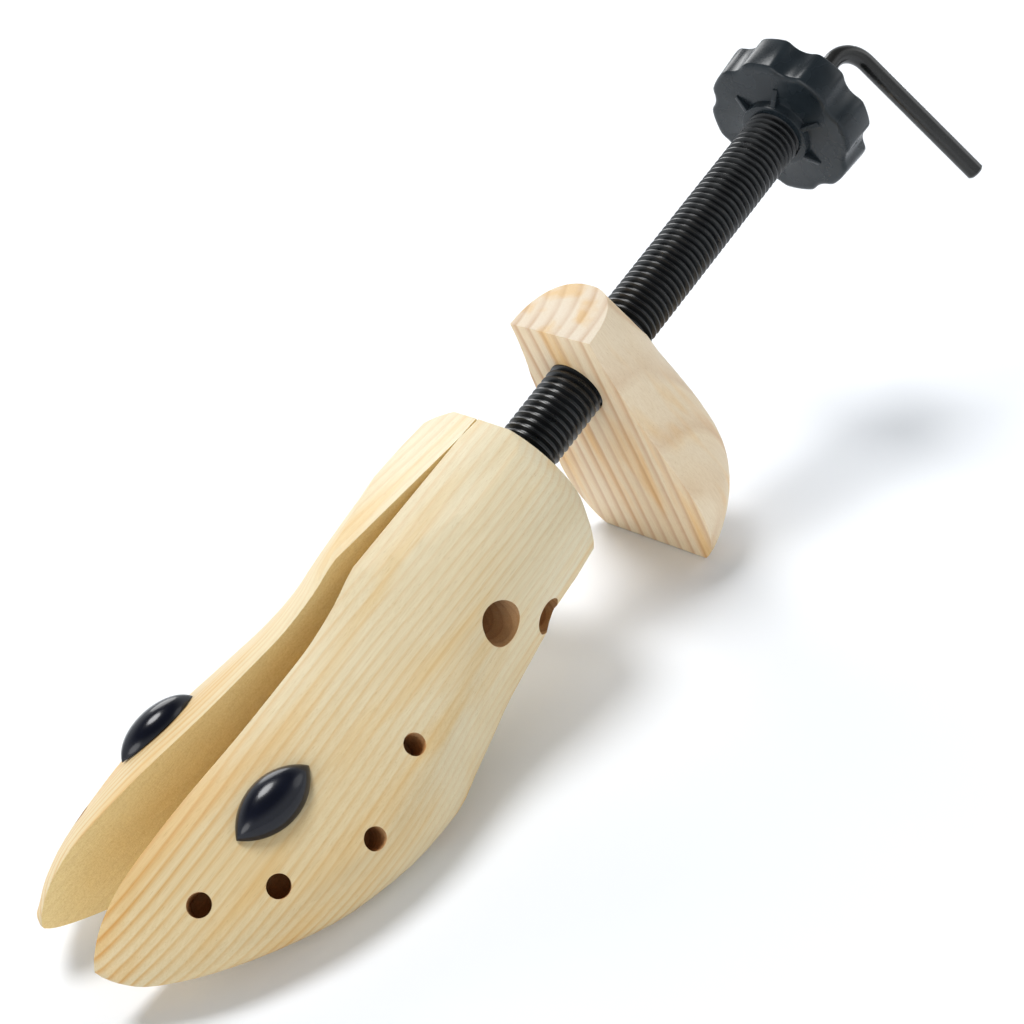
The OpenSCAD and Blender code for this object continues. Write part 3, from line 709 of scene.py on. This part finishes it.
# %% Heel block
heel = wood_copy("heel_block", "heel_wood")
heel.data.materials.append(heel_pine)
soften_edges(heel, 1.6, 45, 4)
shade_smooth(heel, 35)
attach(heel, "heel")
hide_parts("heel_block")
print(heel.name, len(heel.data.polygons), "faces")

# %% [markdown]
# ## A screw thread
#
# A thread is one short profile swept along a helix. The screw modifier does that: it turns
# the profile round the rod while it moves it one pitch a turn. The profile has a flat crest,
# a flat root and sloping flanks. The sweep starts and ends two turns too far out, and its ends
# are then cut square and filled.

# %% Sweep a profile along a helix
SPARE_TURNS = 2


def threaded_bar(x_from, x_to, outside, pitch, depth, crest, root, steps):
    """Solid threaded bar along X, in millimetres, with `steps` faces to a turn."""
    top, low = outside / 2, outside / 2 - depth
    flank = (pitch - crest - root) / 2
    points = [(0, low), (root, low), (root + flank, top), (root + flank + crest, top), (pitch, low)]
    mesh = bpy.data.meshes.new("thread")
    mesh.from_pydata([mm(x_from - SPARE_TURNS * pitch + x, 0, r) for x, r in points],
                     [(i, i + 1) for i in range(len(points) - 1)], [])
    bar = bpy.data.objects.new("thread", mesh)
    bpy.context.scene.collection.objects.link(bar)
    turns = int((x_to - x_from) / pitch) + 2 * SPARE_TURNS
    apply_modifier(bar, "SCREW", axis="X", angle=2 * pi, screw_offset=pitch * MM, iterations=turns,
                   steps=steps, render_steps=steps, use_merge_vertices=True, merge_threshold=MERGE_GAP)
    edit_all(bar)
    for at, side in ((x_from, "clear_inner"), (x_to, "clear_outer")):
        bpy.ops.mesh.select_all(action="SELECT")
        bpy.ops.mesh.remove_doubles(threshold=MERGE_GAP)
        bpy.ops.mesh.select_all(action="SELECT")
        bpy.ops.mesh.bisect(plane_co=mm(at, 0, 0), plane_no=(1, 0, 0), use_fill=True, **{side: True})
    bpy.ops.object.mode_set(mode="OBJECT")
    face_outwards(bar)
    print("thread of", turns - 2 * SPARE_TURNS, "turns,", pitch, "mm pitch")
    return bar


# %% [markdown]
# ## The threaded sleeve
#
# The sleeve is a black tube with a coarse thread from the back of the last to the knob. Its
# smooth nose turns in the pivot collar, and a bore lets the spreader rod pass through it.

# %% Sleeve with its thread
SLEEVE_FROM, SLEEVE_TO = 5.5, 169.0
NOSE_FROM, NOSE_R, NOSE_BORE_R = -8.0, 7.5, 3.5
BORE_FROM, BORE_R = 9.6, 4.5

sleeve = threaded_bar(SLEEVE_FROM, SLEEVE_TO, outside=20.0, pitch=2.5, depth=1.35,
                      crest=0.45, root=0.35, steps=40)
join_with(sleeve, rod_cylinder(NOSE_FROM, SLEEVE_FROM + 1, NOSE_R, 64))
cut_with(sleeve, rod_cylinder(BORE_FROM, SLEEVE_TO + 1, BORE_R))
cut_with(sleeve, rod_cylinder(NOSE_FROM - 1, BORE_FROM + 1, NOSE_BORE_R))
finish_piece(sleeve, "threaded_sleeve_black", ON_ROD, "sleeve", sleeve_black,
             "threaded_sleeve", smooth=32)

# %% [markdown]
# ## The knob
#
# The knob is moulded: a rim with eight finger scallops, a flat face, and a short hub round the
# sleeve that six gussets hold. It starts as one circle round the rod. Each new loop of
# edges is extruded from the last and set to its own distance along the rod and from it, and
# the loops at the rim follow the scallops. Rounded edges are a few loops close together.

# %% Outline of the rim
KNOB_FRONT, KNOB_BACK = 167.5, 181.0
KNOB_R, KNOB_FRONT_R = 28.3, 27.4
LOBES, SCALLOP_R, SCALLOP_DEPTH = 8, 9.0, 2.6
LOBE_ROUNDING = radians(2.4)


def lobed_radius(angle, x):
    """Distance of the rim from the rod axis at an angle: a slight cone with round scallops."""
    share = (x - KNOB_FRONT) / (KNOB_BACK - KNOB_FRONT)
    rim = KNOB_FRONT_R + (KNOB_R - KNOB_FRONT_R) * share
    pitch = 2 * pi / LOBES
    off = (angle % pitch) - pitch / 2
    centre = KNOB_R + SCALLOP_R - SCALLOP_DEPTH
    inside = SCALLOP_R ** 2 - (centre * sin(off)) ** 2
    if inside <= 0:
        return rim
    return min(rim, centre * cos(off) - sqrt(inside))


def soft_lobed_radius(angle, x):
    """The same, averaged over a few degrees, which rounds the corners of the lobes."""
    samples = [lobed_radius(angle + LOBE_ROUNDING * k / 3, x) for k in range(-3, 4)]
    return sum(samples) / len(samples)


print("knob", 2 * KNOB_R, "mm over its", LOBES, "lobes")

# %% Knob from loops of edges
KNOB_SIDES = 192
HUB_FRONT = 164.3


def loops_round_rod(name, loops, sides):
    """Closed skin of loops round the rod. Each loop is (x, radius, lobed) in millimetres, and
    a lobed loop keeps its radius as an inset from the rim."""
    clear_selection()
    bpy.ops.mesh.primitive_circle_add(vertices=sides, radius=1, rotation=(0, pi / 2, 0))
    piece = bpy.context.object
    piece.name = name
    bake_place(piece)
    edit_all(piece)
    for number, (x, radius, lobed) in enumerate(loops):
        if number:
            bpy.ops.mesh.extrude_edges_move(TRANSFORM_OT_translate={"value": (0, 0, 0)})
        edit = bmesh.from_edit_mesh(piece.data)
        for vertex in (v for v in edit.verts if v.select):
            angle = atan2(vertex.co.z, vertex.co.y)
            reach = soft_lobed_radius(angle, x) - radius if lobed else radius
            vertex.co = Vector((x, reach * cos(angle), reach * sin(angle))) * MM
        bmesh.update_edit_mesh(piece.data)
    bpy.ops.object.mode_set(mode="OBJECT")
    return piece


hub_loops = [
    (HUB_FRONT, 10.1, False), (HUB_FRONT, 12.1, False), (HUB_FRONT + 0.15, 12.45, False),
    (HUB_FRONT + 0.5, 12.6, False), (166.9, 12.7, False), (167.3, 12.9, False), (167.5, 13.4, False)]
rim_loops = [
    (167.5, 2.2, True), (167.55, 1.3, True), (167.8, 0.6, True), (168.2, 0.15, True),
    (168.8, 0, True), (179.9, 0, True), (180.4, 0.15, True), (180.75, 0.6, True),
    (180.95, 1.3, True), (181.0, 2.2, True)]
back_loops = [
    (181.0, 14.2, False), (181.2, 13.4, False), (184.4, 12.6, False), (184.9, 12.2, False),
    (185.0, 11.6, False)]
bore_loops = [
    (185.0, 4.5, False), (176.0, 4.5, False), (176.0, 10.1, False), (HUB_FRONT, 10.1, False)]
knob = loops_round_rod("knob", hub_loops + rim_loops + back_loops + bore_loops, KNOB_SIDES)
face_outwards(knob)
print("knob of", len(knob.data.polygons), "faces before its gussets")

# %% [markdown]
# A gusset is a thin rib that stiffens the corner between the hub and the face. Each starts as
# a slab, its outer front corners are pushed back to make the slope, its edges are rounded, and
# it is turned round the rod and joined to the knob.

# %% Gussets of the hub
GUSSETS, FIRST_GUSSET = 6, radians(45)
GUSSET_MIDDLE, GUSSET_SIZE = (166.3, 14.9, 0), (3.6, 7.4, 1.8)
GUSSET_TIP = 167.1

for number in range(GUSSETS):
    clear_selection()
    bpy.ops.mesh.primitive_cube_add(size=1, location=mm(*GUSSET_MIDDLE), scale=mm(*GUSSET_SIZE))
    gusset = bpy.context.object
    bake_place(gusset)
    for vertex in gusset.data.vertices:
        if vertex.co.y > 15 * MM and vertex.co.x < 167 * MM:
            vertex.co.x = GUSSET_TIP * MM
    apply_modifier(gusset, "BEVEL", width=0.3 * MM, segments=2)
    gusset.data.transform(Matrix.Rotation(FIRST_GUSSET + 2 * pi * number / GUSSETS, 4, "X"))
    join_with(knob, gusset)
finish_piece(knob, "knob_moulded", ON_ROD, "sleeve", knob_black, "knob", smooth=38)

# %% [markdown]
# ## The spreader rod and its handle
#
# One steel rod runs through everything. Its thread in the middle screws through the barrel
# nut, its tip turns in the wedge, and its end is bent over as a handle. The bend is made the
# way a smith makes it: the end face of the straight rod is spun round a centre beside it, and
# then drawn out into the leg, with a small chamfer at its end.

# %% Rod, bend and handle
ROD_R, ROD_SIDES = 3.175, 40
THREAD_FROM, THREAD_TO = -66.0, -22.0
LEG_X, BEND_R, LEG_L = 214.0, 10.0, 67.0
LEG_SLOPE = radians(54)
BEND_STEPS = 18
CHAMFER, CHAMFER_SHRINK = 0.7, 0.78


def end_face(piece, x):
    """Selects the face that closes the piece at x."""
    bpy.ops.object.mode_set(mode="OBJECT")
    for part in (piece.data.vertices, piece.data.edges, piece.data.polygons):
        for element in part:
            element.select = False
    for face in piece.data.polygons:
        if abs(face.center.x - x * MM) < MERGE_GAP and abs(face.normal.x) > 0.99:
            face.select = True
    bpy.ops.object.mode_set(mode="EDIT")


def draw_out(way, length):
    """Extrudes the selected face by a length in millimetres."""
    bpy.ops.mesh.extrude_region_move(TRANSFORM_OT_translate={"value": way * length * MM})


rod = rod_cylinder(THREAD_TO - 0.5, LEG_X - BEND_R, ROD_R, ROD_SIDES)
choose(rod)
bpy.ops.object.mode_set(mode="EDIT")
bpy.ops.mesh.select_mode(type="FACE")
end_face(rod, LEG_X - BEND_R)
leg_way = Vector((0, -cos(LEG_SLOPE), -sin(LEG_SLOPE)))
bend_centre = Vector((LEG_X - BEND_R, 0, 0)) * MM + leg_way * BEND_R * MM
bend_axis = Vector((1, 0, 0)).cross(leg_way)
bpy.ops.mesh.spin(steps=BEND_STEPS, angle=-pi / 2, center=bend_centre, axis=bend_axis)
draw_out(leg_way, LEG_L - BEND_R - CHAMFER)
draw_out(leg_way, CHAMFER)
leg_end = Vector((LEG_X, 0, 0)) * MM + leg_way * LEG_L * MM
bpy.ops.transform.resize(value=(CHAMFER_SHRINK,) * 3, center_override=leg_end)
bpy.ops.object.mode_set(mode="OBJECT")
face_outwards(rod)
print("rod and handle", len(rod.data.polygons), "faces before the thread")

# %% [markdown]
# Ahead of the thread the rod is turned down. A narrow neck leads to a collar that pushes on
# the back of the wedge, and a thinner tip turns inside it.

# %% Thread, neck, collar and tip
WEDGE_BACK, COLLAR_GAP, COLLAR_L = -71.6, 0.05, 3.0
NECK_R, TIP_R, TIP_FROM = ROD_R - 0.75, 2.5, -91.6
collar_from = WEDGE_BACK + COLLAR_GAP

join_with(rod, threaded_bar(THREAD_FROM, THREAD_TO, outside=2 * ROD_R, pitch=1.27, depth=0.7,
                            crest=0.18, root=0.12, steps=24))
join_with(rod, rod_cylinder(collar_from, THREAD_FROM + 0.5, NECK_R, ROD_SIDES))
join_with(rod, rod_cylinder(collar_from, WEDGE_BACK + COLLAR_L, ROD_R, ROD_SIDES))
join_with(rod, rod_cylinder(TIP_FROM, WEDGE_BACK + 1, TIP_R, ROD_SIDES))
finish_piece(rod, "spreader_rod_black", ON_ROD, "rod", rod_black,
             "spreader_rod", smooth=35)

# %% [markdown]
# ## The pressure plugs
#
# Each plug is an almond-shaped dome of glossy plastic on a short stem that is pushed into one
# of the holes, where it presses on a tight spot of the shoe. A sphere with its poles at the
# ends of the almond is set ring by ring to the almond's width there, and is then cut flat just
# above the wood. Both plugs are made alike, each in the place of its own half.

# %% Almond domes on their stems
PLUG_L, PLUG_W, PLUG_H = 27.2, 14.6, 6.4
DOME_FULLNESS = 0.8
SEAT_LIFT = 0.2
STEM_R, STEM_L, STEM_MIDDLE = 3.2, 11.5, -5.25


def almond_half_width(x):
    """Half the almond's width at x, between two arcs that meet at its ends."""
    arc = ((PLUG_L / 2) ** 2 + (PLUG_W / 2) ** 2) / PLUG_W
    return max(sqrt(max(arc ** 2 - x ** 2, 0)) - arc + PLUG_W / 2, 0)


def pressure_plug():
    clear_selection()
    bpy.ops.mesh.primitive_uv_sphere_add(segments=48, ring_count=40, radius=1, rotation=(0, pi / 2, 0))
    dome = bpy.context.object
    bake_place(dome)
    for vertex in dome.data.vertices:
        ring = hypot(vertex.co.y, vertex.co.z)
        x = vertex.co.x * PLUG_L / 2
        width = almond_half_width(x)
        height = PLUG_H * (width / (PLUG_W / 2)) ** DOME_FULLNESS if width else 0
        scale = 1 / ring if ring > 1e-6 else 0
        vertex.co = Vector((x, vertex.co.y * scale * width, vertex.co.z * scale * height)) * MM
    edit_all(dome)
    bpy.ops.mesh.bisect(plane_co=mm(0, 0, SEAT_LIFT), plane_no=(0, 0, 1), use_fill=True, clear_inner=True)
    clear_selection()
    bpy.ops.mesh.primitive_cylinder_add(vertices=40, radius=STEM_R * MM, depth=STEM_L * MM,
                                        location=mm(0, 0, STEM_MIDDLE))
    stem = bpy.context.object
    bake_place(stem)
    join_with(dome, stem)
    return dome


print("almond", PLUG_L, "by", 2 * almond_half_width(0), "mm")

# %% Two plugs in their holes
PLUG_AT = Vector((-119.655, 18.073, 20.534))
PLUG_OUT = Vector((0.1010, 0.5241, 0.8456))
PLUG_TURN = radians(8)

ahead = Vector((1, 0, 0)) - PLUG_OUT * PLUG_OUT.x
plug_x = -ahead.normalized()
plug_seat = place_from((plug_x, PLUG_OUT.cross(plug_x), PLUG_OUT), PLUG_AT * MM)
for side, place in (("left", ON_LEFT), ("right", ON_RIGHT)):
    plug = pressure_plug()
    seat = place @ plug_seat @ Matrix.Rotation(PLUG_TURN, 4, "Z")
    finish_piece(plug, side + "_plug_navy", seat, side + "_half", plug_navy,
                 side + "_bunion_plug", smooth=50)

# %% [markdown]
# ## The return spring
#
# The spring crosses the slot inside the second bore and pulls the halves together. Its wire is
# a curve with a round bevel, made in two pieces that meet in the middle of the slot.

# %% Line of the wire
SPRING_X, SPRING_Z = -25.30, -17.0
PIN_Y, HOOK_R, HOOK_NECK, WIRE_R = 23.94, 1.85, 2.2, 0.45
COIL_R, COILS_A_SIDE, COIL_STEPS = 3.0, 10, 16
COIL_HALF = PIN_Y - 2 * HOOK_R - HOOK_NECK
HOOK_FROM, HOOK_SWEEP, HOOK_STEPS = radians(-60), radians(270), 8


def wire_points(sign):
    """Points from the middle of the slot out to the pin, in mm: the coils, then the hook."""
    points = []
    last = COILS_A_SIDE * COIL_STEPS
    for step in range(last + 1):
        angle = 2 * pi * step / COIL_STEPS * sign
        points.append((COIL_R * cos(angle), sign * COIL_HALF * step / last, COIL_R * sin(angle)))
    for step in range(HOOK_STEPS + 1):
        angle = HOOK_FROM + HOOK_SWEEP * step / HOOK_STEPS
        points.append((HOOK_R * cos(angle), sign * (PIN_Y + HOOK_R * sin(angle)), 0))
    return points


print("coils reach", round(COIL_HALF, 2), "mm from the middle")

# %% Two ends of one spring
def spring_end(side):
    sign = 1 if side == "left" else -1
    points = wire_points(sign)
    curve = bpy.data.curves.new("spring", "CURVE")
    curve.dimensions = "3D"
    curve.bevel_depth = WIRE_R * MM
    curve.bevel_resolution = 2
    curve.use_fill_caps = True
    line = curve.splines.new("POLY")
    line.points.add(len(points) - 1)
    for spot, (x, y, z) in zip(line.points, points):
        spot.co = (*mm(SPRING_X + x, y, SPRING_Z + z), 1)
    piece = bpy.data.objects.new("spring", curve)
    bpy.context.scene.collection.objects.link(piece)
    choose(piece)
    bpy.ops.object.convert(target="MESH")
    piece = bpy.context.object
    piece.name = side + "_spring_coils"
    piece.data.transform(ON_ROD)
    shade_smooth(piece, 60)
    piece.data.materials.append(bright_steel)
    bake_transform(piece)
    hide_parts("return_spring")
    print(piece.name, len(piece.data.polygons), "faces")


spring_end("left")
spring_end("right")

# %% [markdown]
# ## Turned pieces that the CAD already shapes
#
# The collar, the nut, washer, clips, plates, screws, pins and the wedge are simple machined
# pieces whose CAD solids are right. They keep their shape and only get their metal, and the
# bush in the knob gets the sleeve's plastic.

# %% Finish of the machined pieces
FINISHES = {"rod_bush": sleeve_black, "spreader_wedge": turned_brass}
for node_name in ("pivot_collar", "barrel_nut", "sleeve_washer", "nose_clip", "tip_clip"):
    FINISHES[node_name] = bright_steel
for side in ("left", "right"):
    for piece_name in ("_ramp_plate", "_ramp_screws", "_spring_pin"):
        FINISHES[side + piece_name] = bright_steel

for node_name, finish in FINISHES.items():
    node = frame["nodes"][node_name]
    node.data.materials.clear()
    node.data.materials.append(finish)
print(len(FINISHES), "machined pieces finished")
